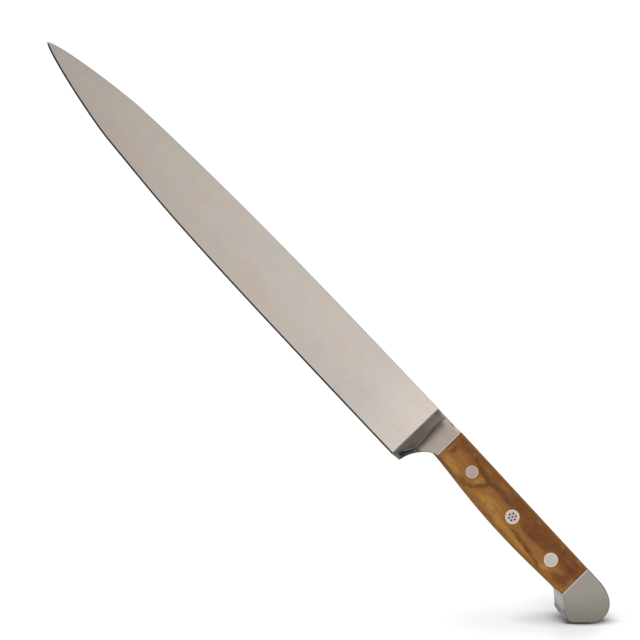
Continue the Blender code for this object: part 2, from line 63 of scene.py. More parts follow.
MM = 0.001
JOINT_GAP = 0.1 * MM  # between a scale's end and the steel
BOLSTER_LENGTH = 14.7 * MM
SPINE_HEIGHT = 14.35 * MM  # spine above the tip line, at the bolster
HEEL_SETBACK = 4.7 * MM
HEAD_THICKNESS = 2.0 * MM
SHANK_RADIUS = 1.5 * MM
BORE_RADIUS = 1.56 * MM
SOCKET_RADIUS = 2.36 * MM
END_GAP = 0.3 * MM  # past the ends of pin and socket
RIVETS = ("front", "centre", "rear")
ROSETTE_COUNT = 6
ROSETTE_RADIUS = 1.65 * MM
DIMPLE_RADIUS = 0.48 * MM
DIMPLE_DEPTH = 0.2 * MM
FRONT_RIVET_DARKER = (0.75, 0.69, 0.66)  # the front rivet's heads are darker
CAP_BOTTOM_ANGLE = 46.3  # degrees, flat bottom of the butt cap from the knife's length
FLOOR_DROP = 0.1 * MM  # keeps the floor clear of the knife's underside
SENSOR_WIDTH = 36  # millimetres
CLOSE = 1e-6  # slack for faces and corners that lie in a plane
NEAR = 1e-5  # slack for faces beside a joint
SIDE_TILT = 0.93  # a face of the cap whose normal has a larger Z lies on its side
WHITE = (1, 1, 1, 1)

# Strokes of a grind along the knife, across it and through its thickness: a larger number is finer
ACROSS_GRAIN = (2600, 80, 300)
ALONG_GRAIN = (80, 1800, 300)
FINE_GRAIN = (1500, 1500, 1500)

FORGING_LOW, FORGING_HIGH = (Vector(corner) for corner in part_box("forging"))
SCALE_LOW, SCALE_HIGH = (Vector(corner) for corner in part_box("left_scale"))
TIP_X = FORGING_LOW.x
FRONT_JOINT_X = SCALE_LOW.x - JOINT_GAP
REAR_JOINT_X = SCALE_HIGH.x + JOINT_GAP
BOLSTER_X = FRONT_JOINT_X - BOLSTER_LENGTH
TIP_Y = FORGING_HIGH.y - SPINE_HEIGHT
TOP_Z = FORGING_HIGH.z
MIDDLE_Z = TOP_Z / 2


class Signal:
    """A value that changes over a surface: a shader node's output that plain expressions can use."""

    def __init__(self, finish, socket):
        self.finish = finish
        self.socket = socket

    def calculate(self, operation, first, second):
        return self.finish.node("ShaderNodeMath", {"operation": operation}, {0: first, 1: second})

    def __add__(self, other):
        return self.calculate("ADD", self, other)

    def __radd__(self, other):
        return self.calculate("ADD", other, self)

    def __sub__(self, other):
        return self.calculate("SUBTRACT", self, other)

    def __rsub__(self, other):
        return self.calculate("SUBTRACT", other, self)

    def __mul__(self, other):
        return self.calculate("MULTIPLY", self, other)

    def __rmul__(self, other):
        return self.calculate("MULTIPLY", other, self)

    def __truediv__(self, other):
        return self.calculate("DIVIDE", self, other)

    def __rtruediv__(self, other):
        return self.calculate("DIVIDE", other, self)


class Finish:
    """A node material in the making."""

    def __init__(self, name, tree=None):
        if tree is None:
            self.material = bpy.data.materials.new(name)
            self.material.use_nodes = True
            tree = self.material.node_tree
        self.tree = tree
        tree.nodes.clear()

    def node(self, kind, settings=None, sockets=None, output=0):
        """Adds a node: first its settings, then the values or links of its sockets."""
        made = self.tree.nodes.new(kind)
        for name, value in (settings or {}).items():
            setattr(made, name, value)
        for key, value in (sockets or {}).items():
            if isinstance(value, Signal):
                self.tree.links.new(value.socket, made.inputs[key])
            else:
                made.inputs[key].default_value = value
        return Signal(self, made.outputs[output])

    def vectors(self, operation, *vectors, output=0):
        """A Vector Math node with the vectors in its sockets, in their order."""
        sockets = dict(enumerate(vectors))
        return self.node("ShaderNodeVectorMath", {"operation": operation}, sockets, output)

    def by_ray(self, ray, shader, other):
        """One shader for rays of that kind and another for the rest."""
        kind = self.node("ShaderNodeLightPath", output=ray)
        return self.node("ShaderNodeMixShader", None, {0: kind, 1: other, 2: shader})

    def place(self):
        return self.node("ShaderNodeTexCoord", output="Object")

    def axes(self, vector):
        split = self.node("ShaderNodeSeparateXYZ", sockets={0: vector}).socket.node
        return [Signal(self, socket) for socket in split.outputs]

    def stretched(self, vector, along, across, through):
        """The place in strokes: a larger number makes a pattern finer on that axis."""
        return self.vectors("MULTIPLY", vector, (along, across, through))

    def noise(self, vector, detail=2.0, roughness=0.5, distortion=0.0, output="Fac"):
        sockets = {"Vector": vector, "Scale": 1.0, "Detail": detail, "Roughness": roughness}
        return self.node("ShaderNodeTexNoise", None, {**sockets, "Distortion": distortion}, output)

    def warped(self, vector, drift, amount):
        """The place shifted by a slow noise, so that what is drawn on it wanders."""
        wander = self.vectors("SUBTRACT", self.noise(drift, 2.0, output="Color"), (0.5, 0.5, 0.5))
        return self.vectors("ADD", vector, self.vectors("MULTIPLY", wander, amount))

    def step(self, value, start, end, low=0.0, high=1.0):
        """A soft change from low to high while the value goes from start to end."""
        settings = {"interpolation_type": "SMOOTHSTEP"}
        return self.node("ShaderNodeMapRange", settings, {0: value, 1: start, 2: end, 3: low, 4: high})

    def mix(self, factor, first, second, blend="MIX"):
        """From the first colour to the second. A Mix node's colour sockets go by number."""
        settings = {"data_type": "RGBA", "blend_type": blend}
        first, second = (
            colour if isinstance(colour, Signal) else (*colour, 1) for colour in (first, second)
        )
        return self.node("ShaderNodeMix", settings, {0: factor, 6: first, 7: second}, 2)

    def patch(self, vector, centre, size, turn):
        """1 inside a turned oval on the knife's side and 0 outside it, with a soft rim."""
        settings = {"vector_type": "TEXTURE"}
        values = {"Location": (*centre, 0), "Rotation": (0, 0, math.radians(turn)), "Scale": (*size, 1)}
        local = self.node("ShaderNodeMapping", settings, {0: vector, **values})
        return self.step(self.vectors("LENGTH", local, output="Value"), 1.3, 0.3)

    def steel_tone(self, colour, grain, unevenness):
        """A steel's colour with the strokes of its grain and soft uneven patches."""
        place = self.place()
        strokes = self.noise(self.stretched(place, *grain), 3.0, 0.6)
        patches = self.noise(self.stretched(place, 150, 150, 150), 2.0, 0.5)
        dark, light = (shaded(colour, 1 + change) for change in (-unevenness, unevenness))
        return self.mix(self.step(patches * 0.6 + strokes * 0.4, 0.3, 0.7), dark, light)

    def bump(self, height, strength, distance):
        values = {"Strength": strength, "Distance": distance, "Height": height}
        return self.node("ShaderNodeBump", None, values, "Normal")

    def shade(self, **sockets):
        """Ends the material in a Principled shader with these sockets."""
        named = {name.replace("_", " "): value for name, value in sockets.items()}
        self.end_in(self.node("ShaderNodeBsdfPrincipled", None, named))
        return self.material

    def end_in(self, shader, kind="ShaderNodeOutputMaterial"):
        end = self.tree.nodes.new(kind)
        self.tree.links.new(shader.socket, end.inputs[0])


class HamKnifeLook(bpy.types.PropertyGroup):
    """Sizes and colours that a user would change."""

    blade_colour: FloatVectorProperty(
        name="Blade steel", description="Colour of the blade's satin side", subtype="COLOR", size=3,
        min=0, max=1, default=(0.615, 0.558, 0.511),
    )
    bolster_colour: FloatVectorProperty(
        name="Bolster steel", description="Colour of the bolster's side", subtype="COLOR", size=3,
        min=0, max=1, default=(0.43, 0.37, 0.325),
    )
    cap_colour: FloatVectorProperty(
        name="Cap steel", description="Colour of the butt cap's side", subtype="COLOR", size=3,
        min=0, max=1, default=(0.405, 0.387, 0.335),
    )
    rivet_colour: FloatVectorProperty(
        name="Rivet steel", description="Colour of the rivet heads", subtype="COLOR", size=3,
        min=0, max=1, default=(0.56, 0.50, 0.45),
    )
    wood_colour: FloatVectorProperty(
        name="Olive wood", description="Middle colour of the handle scales", subtype="COLOR", size=3,
        min=0, max=1, default=(0.30, 0.127, 0.024),
    )
    streak_spacing: FloatProperty(
        name="Polishing stroke", description="Usual width of a stroke of the polish across the blade",
        subtype="DISTANCE", unit="LENGTH", min=0.0002, max=0.01, default=0.0008,
    )
    head_rounding: FloatProperty(
        name="Head rounding", description="Radius of the rivet heads' rims",
        subtype="DISTANCE", unit="LENGTH", min=0.0, max=0.0005, default=0.00015,
    )
    smoothing: FloatProperty(
        name="Smoothing angle", description="Faces that meet at less than this look like one surface",
        subtype="ANGLE", min=0.0, max=math.pi, default=math.radians(33),
    )


class HamKnifeStage(bpy.types.PropertyGroup):
    """Camera, floor and light."""

    camera_place: FloatVectorProperty(
        name="Camera place", description="Where the camera stands, from the middle of the knife",
        subtype="TRANSLATION", unit="LENGTH", size=3, default=(-0.00343, -0.028987, 0.5378),
    )
    camera_turn: FloatVectorProperty(
        name="Camera turn", description="Rotation of the camera", subtype="EULER", size=3,
        default=(math.radians(2.4652), math.radians(-2.5547), math.radians(46.2472)),
    )
    focal_length: FloatProperty(
        name="Focal length", description="Lens in millimetres on a sensor 36 mm wide", min=10, max=300,
        default=61.875,
    )
    floor_size: FloatProperty(
        name="Floor", description="Side of the square floor", subtype="DISTANCE", unit="LENGTH",
        min=1, max=20, default=8.0,
    )
    key_place: FloatVectorProperty(
        name="Softbox place", description="Where the softbox stands", subtype="TRANSLATION",
        unit="LENGTH", size=3, default=(-1.6, 1.6, 2.2),
    )
    key_size: FloatProperty(
        name="Softbox size", description="Side of the softbox", subtype="DISTANCE", unit="LENGTH",
        min=0.1, max=5, default=1.3,
    )
    key_power: FloatProperty(
        name="Softbox power", description="Power of the softbox", unit="POWER", min=0, max=500,
        default=70.0,
    )


def deselect_all():
    if bpy.context.object and bpy.context.object.mode != "OBJECT":
        bpy.ops.object.mode_set(mode="OBJECT")
    bpy.ops.object.select_all(action="DESELECT")


def make_active(piece):
    deselect_all()
    piece.select_set(True)
    bpy.context.view_layer.objects.active = piece


def merged_copy(node, name):
    """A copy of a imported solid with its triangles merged, as the start of its visible piece."""
    piece = bpy.data.objects.new(name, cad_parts[node].data.copy())
    piece.data.name = name
    piece.data.materials.clear()
    bpy.context.scene.collection.objects.link(piece)
    make_active(piece)
    bpy.ops.mesh.customdata_custom_splitnormals_clear()
    bpy.ops.object.mode_set(mode="EDIT")
    bpy.ops.mesh.select_all(action="SELECT")
    bpy.ops.mesh.remove_doubles(threshold=1e-7)
    bpy.ops.mesh.tris_convert_to_quads(face_threshold=math.radians(1), shape_threshold=math.radians(60))
    bpy.ops.object.mode_set(mode="OBJECT")
    return piece


def select_faces(piece, wanted):
    """Selects the faces that pass the test, in edit mode."""
    bpy.ops.mesh.select_mode(type="FACE")
    bpy.ops.mesh.select_all(action="DESELECT")
    mesh = bmesh.from_edit_mesh(piece.data)
    count = 0
    for face in mesh.faces:
        if wanted(face.calc_center_median(), face.normal):
            face.select_set(True)
            count += 1
    bmesh.update_edit_mesh(piece.data)
    if not count:
        raise RuntimeError(f"{piece.name}: no face passes {wanted.__name__}")


def finish_faces(piece, regions):
    """Gives the piece a material slot for each region. A later region takes faces from an earlier one."""
    for material, _ in regions:
        piece.data.materials.append(material)
    make_active(piece)
    bpy.ops.object.mode_set(mode="EDIT")
    for index, (_, wanted) in enumerate(regions):
        if wanted is None:
            bpy.ops.mesh.select_all(action="SELECT")
        else:
            select_faces(piece, wanted)
        piece.active_material_index = index
        bpy.ops.object.material_slot_assign()
    bpy.ops.object.mode_set(mode="OBJECT")


def finish_piece(piece, node, angle):
    """Smooths the piece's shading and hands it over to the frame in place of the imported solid."""
    make_active(piece)
    bpy.ops.object.shade_smooth_by_angle(angle=angle)
    bpy.ops.object.modifier_add(type="WEIGHTED_NORMAL")
    piece.modifiers[-1].keep_sharp = True
    bpy.ops.object.modifier_apply(modifier=piece.modifiers[-1].name)
    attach(piece, "root")
    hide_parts(node)


# The figure of the olive wood: middle from the bolster joint and the tip line, half length and half
# width in millimetres, and turn in degrees
GOLDEN_FIGURE = (
    (7.5, 0.0, 6.8, 2.0, -5), (22.6, 3.8, 2.9, 1.7, 50), (34.0, -0.6, 9.0, 3.4, 0),
    (46.0, -3.2, 7.0, 2.2, 0), (54.0, -4.1, 11.0, 1.4, 0), (72.7, -2.0, 2.6, 1.3, 10),
    (84.9, -4.1, 2.6, 0.9, 5),
)
BROWN_FIGURE = (
    (3.3, 5.2, 1.7, 3.0, 0), (17.6, -2.0, 4.2, 1.3, 0), (57.5, 6.3, 10.5, 6.0, 0),
    (81.0, 6.4, 6.8, 5.2, 0), (6.0, 11.0, 6.0, 1.8, -5), (67.0, 6.0, 5.0, 3.5, 0),
    (80.4, -1.6, 4.0, 2.4, 10), (43.5, 9.5, 5.0, 3.0, 0), (84.5, -0.5, 3.0, 4.0, 0),
    (57.5, -1.4, 8.5, 1.2, -8), (73.0, 8.3, 13.0, 2.2, 0), (25.8, 4.3, 2.8, 1.5, 55),
    (23.8, 1.6, 2.6, 1.4, 57), (21.0, -0.8, 2.6, 1.3, 30),
)
PALE_FIGURE = (
    (9.4, 5.8, 4.4, 3.2, 0), (21.6, 10.2, 3.2, 1.2, 0), (33.1, 10.3, 4.0, 1.5, 0),
    (56.7, 10.5, 2.2, 1.0, 0), (72.3, 10.6, 1.6, 0.7, 0), (82.9, 10.7, 2.8, 0.5, 0),
    (77.6, 1.2, 2.4, 1.2, 10), (58.9, 0.9, 9.5, 0.9, 0), (12.5, 10.6, 2.2, 0.8, -20),
)
DARK_FIGURE = (
    (15.0, 9.7, 3.2, 1.2, -24), (19.5, 7.9, 3.2, 1.4, -17), (24.3, 6.9, 3.4, 1.5, -10),
    (29.2, 7.1, 3.0, 1.2, 8), (36.5, 7.0, 6.4, 1.4, -5), (50.2, -0.9, 2.2, 0.6, -14),
    (55.6, -1.9, 3.6, 0.65, -9), (61.5, -2.8, 3.4, 0.7, -7), (66.2, -3.2, 2.6, 0.65, -3),
    (69.6, -4.0, 2.4, 0.65, -35), (57.7, 3.5, 7.5, 0.6, 0), (63.6, 5.7, 3.2, 0.4, -7),
    (78.6, 9.2, 6.3, 0.6, 0), (0.6, 6.0, 0.5, 3.5, 0), (82.5, 6.0, 4.0, 1.0, -8),
)

# Surfaces of the forging, told apart by a face's centre and normal


def on_tang(centre, normal):
    return FRONT_JOINT_X - NEAR < centre.x < REAR_JOINT_X + NEAR and abs(centre.z - MIDDLE_Z) < 2 * MM


def on_edge_bevel(centre, normal):
    if centre.x > BOLSTER_X + HEEL_SETBACK or centre.y > TIP_Y:
        return False
    return normal.y < -0.15 and abs(normal.z) > 0.5


def on_spine(centre, normal):
    return centre.x < BOLSTER_X and normal.y > 0.15


def on_bolster(centre, normal):
    return BOLSTER_X < centre.x < FRONT_JOINT_X - CLOSE


def on_bolster_front(centre, normal):
    return centre.x > BOLSTER_X - NEAR and normal.x < -0.6


def on_recess(centre, normal):
    """The hollow between heel and handle, with the sides that fall towards it."""
    return on_bolster(centre, normal) and normal.y < -0.28


def on_cap_side(centre, normal):
    return centre.x > REAR_JOINT_X + NEAR and abs(normal.z) > SIDE_TILT


def on_cap_rim(centre, normal):
    return centre.x > REAR_JOINT_X + NEAR and abs(normal.z) <= SIDE_TILT


def on_cap_wall(centre, normal):
    return centre.x > REAR_JOINT_X + NEAR and abs(normal.z) < 0.3


def on_cap_belly(centre, normal):
    """The belly in front of the beak."""
    return centre.x > REAR_JOINT_X + NEAR and normal.y < -0.3 and normal.x < 0.3


def shaded(colour, *shares):
    """The colour with its red, green and blue parts scaled, by one share or by one for each."""
    shares = shares if len(shares) == 3 else shares * 3
    return tuple(part * share for part, share in zip(colour, shares))


def blade_steel(look):
    """Satin steel with painted shade darker towards the tip, a painted highlight near the bolster, a
    little darker towards the edge, and short faint strokes of the polish across the blade.
    """
    finish = Finish("blade_satin_steel")
    place = finish.place()
    x, y, _ = finish.axes(place)
    spacing = look.streak_spacing
    strokes = finish.noise(finish.stretched(place, 1 / spacing, 0.08 / spacing, 0), 2.0, 0.6)
    fields = finish.noise(finish.stretched(place, 55, 75, 0), 2.0, 0.6)
    tints = finish.noise(finish.stretched(place, 38, 60, 0), 3.0, 0.6, 0.4)
    grind = finish.noise(finish.stretched(place, 5200, 60, 60), 2.0, 0.6)
    pale = tuple(look.blade_colour)
    # Painted shade: the blade is darker towards the tip.
    towards_heel = (x - TIP_X) / (BOLSTER_X - TIP_X)
    colour = finish.mix(towards_heel, shaded(pale, 0.77, 0.75, 0.725), pale)
    # Painted highlight: paler near the bolster.
    near_bolster = finish.step(x, BOLSTER_X - 40 * MM, BOLSTER_X)
    colour = finish.mix(near_bolster * 0.7, colour, shaded(pale, 1.18))
    stroked = finish.step(fields, 0.42, 0.60)
    for share, tint in (
        (finish.step(y, TIP_Y + 4 * MM, TIP_Y - 12 * MM) * 0.10, (0.45, 0.4, 0.38)),
        (finish.step(tints, 0.52, 0.68), (0.945, 0.985, 1.0)),
        (finish.step(tints, 0.48, 0.32), (1.01, 0.955, 0.95)),
        (finish.step(strokes, 0.52, 0.74) * stroked * 0.6, (1.14, 1.14, 1.14)),
        (finish.step(strokes, 0.48, 0.28) * stroked * 0.5, (0.80, 0.79, 0.78)),
    ):
        colour = finish.mix(share, colour, tint, "MULTIPLY")
    return finish.shade(
        Base_Color=colour, Metallic=1.0, Roughness=0.36 + 0.05 * strokes + 0.04 * grind,
        Normal=finish.bump(grind, 0.12, 0.02 * MM),
    )


def plain_steel(name, colour, roughness, grain):
    """Steel with one grain all over."""
    finish = Finish(name)
    colour = finish.steel_tone(colour, grain, 0.1)
    return finish.shade(Base_Color=colour, Metallic=1.0, Roughness=roughness)


def bolster_steel(look):
    """The bolster's side, with painted shade in the roll behind its ridge and painted highlights along
    the spine and at the scales.
    """
    finish = Finish("bolster_side_steel")
    x, y, z = finish.axes(finish.place())
    side = tuple(look.bolster_colour)
    colour = finish.steel_tone(side, ACROSS_GRAIN, 0.07)
    # Painted shade in the roll behind the ridge, broad and then deeper.
    below_spine = finish.step(y, TIP_Y + 12.0 * MM, TIP_Y + 9.0 * MM)
    broad_roll_shade = finish.step(x, BOLSTER_X + 12.0 * MM, BOLSTER_X + 6.0 * MM) * below_spine
    colour = finish.mix(broad_roll_shade * 0.42, colour, shaded(side, 0.27))
    roll = finish.step(x, BOLSTER_X + 7.8 * MM, BOLSTER_X + 5.6 * MM)
    roll = roll * finish.step(x, BOLSTER_X + 4.4 * MM, BOLSTER_X + 5.4 * MM) * below_spine
    depth = finish.step(y, TIP_Y + 5.0 * MM, TIP_Y - 2.0 * MM, 0.6, 0.85)
    colour = finish.mix(roll * depth, colour, shaded(side, 0.2))
    # Painted highlight along the spine's rounded rims.
    spine_rim_highlight = finish.step(y, TIP_Y + 12.0 * MM, TIP_Y + 12.7 * MM)
    spine_rim_highlight = spine_rim_highlight * finish.step(x, BOLSTER_X + 6.0 * MM, BOLSTER_X + 13.0 * MM)
    near_sides = finish.step(z, TOP_Z - 3.5 * MM, TOP_Z - 2.0 * MM) + finish.step(z, 3.5 * MM, 2.0 * MM)
    colour = finish.mix(spine_rim_highlight * near_sides, colour, shaded(side, 1.95, 1.95, 2.0))
    # Painted highlight: a bright line along the joint with the scales.
    joint_highlight = finish.step(x, FRONT_JOINT_X - 0.5 * MM, FRONT_JOINT_X - 0.25 * MM)
    colour = finish.mix(joint_highlight * 0.7, colour, (0.72, 0.64, 0.58))
    return finish.shade(Base_Color=colour, Metallic=1.0, Roughness=0.38)


def bolster_front_steel():
    """The bolster's front face, with painted light and shade: a painted highlight at its foot by the
    fillet, lighter upwards, and painted shade along the spine, beside the ridge and towards the heel's
    flank.
    """
    finish = Finish("bolster_front_steel")
    x, y, _ = finish.axes(finish.place())
    colour = finish.steel_tone((0.475, 0.44, 0.39), FINE_GRAIN, 0.1)
    # Painted light and shade: lighter upwards, painted shade along the spine and beside the ridge.
    for share, shade in (
        (finish.step(y, TIP_Y - 2.0 * MM, TIP_Y + 8.5 * MM) * 0.5, (0.72, 0.66, 0.59)),
        (finish.step(y, TIP_Y + 9.5 * MM, TIP_Y + 12.5 * MM) * 0.6, (0.28, 0.26, 0.235)),
        (finish.step(x, BOLSTER_X + 3.2 * MM, BOLSTER_X + 4.0 * MM) * 0.5, (0.2, 0.185, 0.165)),
    ):
        colour = finish.mix(share, colour, shade)
    # Painted shade towards the heel's flank.
    across = (x - BOLSTER_X) - (y - TIP_Y + 8.2 * MM) * 0.3
    flank = finish.step(across, 2.0 * MM, 3.7 * MM) * finish.step(y, TIP_Y - 5.0 * MM, TIP_Y - 8.0 * MM)
    colour = finish.mix(flank * 0.6, colour, (0.15, 0.14, 0.125))
    # Painted highlight at the foot, by the fillet.
    fillet = finish.step(x, BOLSTER_X + 0.9 * MM, BOLSTER_X + 0.1 * MM)
    colour = finish.mix(fillet * 0.6, colour, (0.8, 0.75, 0.7))
    return finish.shade(Base_Color=colour, Metallic=1.0, Roughness=0.4)


def recess_steel():
    """The hollow behind the heel, painted near black as its shade, a little lighter towards its top and
    bottom.
    """
    finish = Finish("recess_steel")
    _, y, _ = finish.axes(finish.place())
    colour = finish.steel_tone((0.042, 0.039, 0.034), FINE_GRAIN, 0.2)
    upper = finish.step(y, TIP_Y - 10.0 * MM, TIP_Y - 7.6 * MM)
    colour = finish.mix(upper, colour, (0.17, 0.155, 0.135))
    lower = finish.step(y, FORGING_LOW.y + 2.6 * MM, FORGING_LOW.y + 1.6 * MM)
    colour = finish.mix(lower, colour, (0.15, 0.145, 0.13))
    return finish.shade(Base_Color=colour, Metallic=1.0, Roughness=0.42)


def cap_steel(look):
    """The butt cap's side: paler towards the joint, with painted shade towards the flat bottom and a
    painted highlight, a bright line along the joint.
    """
    finish = Finish("cap_side_steel")
    x, y, _ = finish.axes(finish.place())
    side = tuple(look.cap_colour)
    lower = (x - REAR_JOINT_X) - (y - TIP_Y)
    colour = finish.steel_tone(side, FINE_GRAIN, 0.04)
    near_joint = finish.step(x, REAR_JOINT_X + 8 * MM, REAR_JOINT_X)
    colour = finish.mix(near_joint, colour, shaded(side, 1.05, 0.99, 1.03))
    # Painted shade: darker towards the flat bottom.
    colour = finish.mix(finish.step(lower, -1 * MM, 30 * MM), colour, shaded(side, 0.6, 0.61, 0.58))
    # Painted highlight: a bright line along the joint with the scales.
    joint_highlight = finish.step(x, REAR_JOINT_X + 0.4 * MM, REAR_JOINT_X + 0.2 * MM)
    colour = finish.mix(joint_highlight * 0.9, colour, (1.0, 0.9, 0.82))
    return finish.shade(Base_Color=colour, Metallic=1.0, Roughness=0.45)


def cap_belly_steel():
    """The cap's belly in front of the beak, painted lighter than the cap's side, with painted shade
    higher up and towards the flat bottom.
    """
    finish = Finish("cap_belly_steel")
    x, y, z = finish.axes(finish.place())
    belly = (0.78, 0.76, 0.715)
    colour = finish.steel_tone(belly, FINE_GRAIN, 0.06)
    # Painted shade, darker higher up and towards the flat bottom, deepest at the chamfer.
    colour = finish.mix(finish.step(z, 4 * MM, TOP_Z), colour, shaded(belly, 0.66))
    lower = (x - REAR_JOINT_X) - (y - TIP_Y)
    colour = finish.mix(finish.step(lower, 9 * MM, 21 * MM), colour, shaded(belly, 0.34))
    colour = finish.mix(finish.step(lower, 14.5 * MM, 16.5 * MM) * 0.55, colour, shaded(belly, 0.18))
    return finish.shade(Base_Color=colour, Metallic=1.0, Roughness=0.42)


class HAMKNIFE_OT_forging(bpy.types.Operator):
    """Blade, bolster, tang and butt cap in one piece of steel, each surface with its own grind and its
    painted light and shade
    """

    bl_idname = "ham_knife.forging"
    bl_label = "Forging"

    def execute(self, context):
        look = context.scene.ham_knife_look
        piece = merged_copy("forging", "forged_blade_and_cap")
        finish_faces(piece, [
            (blade_steel(look), None),
            # Painted shade: the ground edge's steel is near black.
            (plain_steel("ground_edge_steel", (0.035, 0.033, 0.03), 0.35, ACROSS_GRAIN), on_edge_bevel),
            (plain_steel("spine_steel", (0.34, 0.34, 0.31), 0.4, ALONG_GRAIN), on_spine),
            (bolster_steel(look), on_bolster),
            (bolster_front_steel(), on_bolster_front),
            (recess_steel(), on_recess),
            # Painted shade: the tang between the scales is darker steel.
            (plain_steel("tang_steel", (0.20, 0.18, 0.155), 0.45, ALONG_GRAIN), on_tang),
            (cap_steel(look), on_cap_side),
            # Painted shade: the cap's rounded rims are near black and its walls darker than its side.
            (plain_steel("cap_rim_steel", (0.10, 0.10, 0.09), 0.42, FINE_GRAIN), on_cap_rim),
            (plain_steel("cap_wall_steel", (0.27, 0.26, 0.235), 0.42, FINE_GRAIN), on_cap_wall),
            (cap_belly_steel(), on_cap_belly),
        ])
        finish_piece(piece, "forging", look.smoothing)
        return {"FINISHED"}


def drawn(finish, place, spots):
    """Where the spots of a figure lie."""
    total = 0.0
    for along, above, half_length, half_width, turn in spots:
        centre = (FRONT_JOINT_X + along * MM, TIP_Y + above * MM)
        total = finish.patch(place, centre, (half_length * MM, half_width * MM), turn) + total
    return finish.step(total, 0.05, 1.0)


def olive_wood(look):
    """Oiled olive wood: brown towards the spine, golden towards the belly, with a wandering figure."""
    finish = Finish("oiled_olive_wood")
    place = finish.place()
    x, _, _ = finish.axes(place)
    middle = tuple(look.wood_colour)
    gold, pale, light = (
        shaded(middle, *shares) for shares in ((1.40, 1.60, 1.50), (1.0, 1.05, 1.3), (1.35, 1.1, 1.2))
    )
    brown, deep_brown, dark = (
        shaded(middle, *shares) for shares in ((0.64, 0.53, 0.42), (0.50, 0.39, 0.30), (0.40, 0.28, 0.26))
    )
    reddish, olive = shaded(middle, 0.86, 0.62, 0.95), shaded(middle, 0.66, 0.72, 0.6)
    wandering = finish.warped(place, finish.stretched(place, 160, 330, 0), (2.6 * MM, 1.8 * MM, 0))
    frayed = finish.warped(wandering, finish.stretched(place, 700, 1500, 0), (1.2 * MM, 0.8 * MM, 0))
    bands = finish.noise(finish.stretched(frayed, 55, 400, 300), 4.0, 0.6, 0.3)
    blots = finish.noise(finish.stretched(place, 190, 330, 0), 3.0, 0.6)
    hues = finish.noise(finish.stretched(place, 260, 420, 0), 3.0, 0.65)
    pores = finish.noise(finish.stretched(place, 500, 4200, 4200), 3.0, 0.6)
    _, wavy_y, _ = finish.axes(frayed)
    above = wavy_y + (x - FRONT_JOINT_X) * 0.04 - TIP_Y
    calm = finish.step(above, 2.5 * MM, 6.5 * MM, 1.0, 0.35)
    colour = finish.mix(finish.step(above, 4.5 * MM, 9.5 * MM), middle, brown)
    for share, shade in (
        (drawn(finish, frayed, GOLDEN_FIGURE) * 0.95, gold),
        (drawn(finish, frayed, BROWN_FIGURE) * 0.9, deep_brown),
        (drawn(finish, frayed, PALE_FIGURE) * 0.6, pale),
        (drawn(finish, frayed, DARK_FIGURE) * 0.85, dark),
        (finish.step(blots, 0.5, 0.66) * 0.5, reddish),
        (finish.step(hues, 0.46, 0.32) * 0.55, olive),
        (finish.step(hues, 0.55, 0.70) * calm * 0.45, light),
        (finish.step(bands, 0.48, 0.28) * 0.35, dark),
        (finish.step(bands, 0.56, 0.76) * calm * 0.25, gold),
        (finish.step(pores, 0.42, 0.28) * 0.25, dark),
    ):
        colour = finish.mix(share, colour, shade)
    front_end = finish.step(x, SCALE_LOW.x + 0.5 * MM, SCALE_LOW.x + 0.1 * MM)
    rear_end = finish.step(x, SCALE_HIGH.x - 0.5 * MM, SCALE_HIGH.x - 0.1 * MM)
    colour = finish.mix((front_end + rear_end) * 0.5, colour, shaded(dark, 0.6))
    return finish.shade(
        Base_Color=colour, Metallic=0.0, Roughness=0.46 + 0.16 * pores, Specular_IOR_Level=0.3,
        Normal=finish.bump(pores, 0.2, 0.05 * MM),
    )


def olive_wood_edge(look):
    """The long edges of the scales: darker and greyer along the spine as a painted sheen and shade,
    painted lighter along the belly, and painted shade where the belly rises in front.
    """
    finish = Finish("olive_wood_edge")
    place = finish.place()
    x, y, z = finish.axes(place)
    pores = finish.noise(finish.stretched(place, 160, 1800, 1800), 4.0, 0.6)
    middle = tuple(look.wood_colour)
    figure = finish.step(pores, 0.3, 0.7)
    # Painted sheen: greyer along the spine. Painted light: the belly's edge is lighter.
    spine = finish.mix(figure, shaded(middle, 0.58, 0.75, 1.4), shaded(middle, 0.88, 1.15, 2.4))
    belly = finish.mix(figure, shaded(middle, 1.15, 1.1, 1.0), shaded(middle, 1.7, 1.65, 1.5))
    below = finish.step(y, TIP_Y, TIP_Y - 2 * MM)
    colour = finish.mix(below, spine, belly)
    # Painted shade where the belly rises in front.
    rising_shade = finish.step(x, FRONT_JOINT_X + 22 * MM, FRONT_JOINT_X + 6 * MM) * below
    depth = finish.step(z, TOP_Z - 0.5 * MM, TOP_Z - 4.5 * MM, 0.25, 0.62)
    colour = finish.mix(rising_shade * depth, colour, shaded(middle, 0.4, 0.38, 0.2))
    return finish.shade(
        Base_Color=colour, Metallic=0.0, Roughness=0.8, Specular_IOR_Level=0.1,
        Normal=finish.bump(pores, 0.2, 0.05 * MM),
    )


def on_long_edge(centre, normal):
    return normal.y > 0.5 or normal.y < -0.35


class HAMKNIFE_OT_scales(bpy.types.Operator):
    """The two olive-wood scales of the handle"""

    bl_idname = "ham_knife.scales"
    bl_label = "Scales"

    def execute(self, context):
        look = context.scene.ham_knife_look
        regions = [(olive_wood(look), None), (olive_wood_edge(look), on_long_edge)]
        for side in ("left", "right"):
            piece = merged_copy(side + "_scale", side + "_olive_scale")
            finish_faces(piece, regions)
            finish_piece(piece, side + "_scale", look.smoothing)
        return {"FINISHED"}


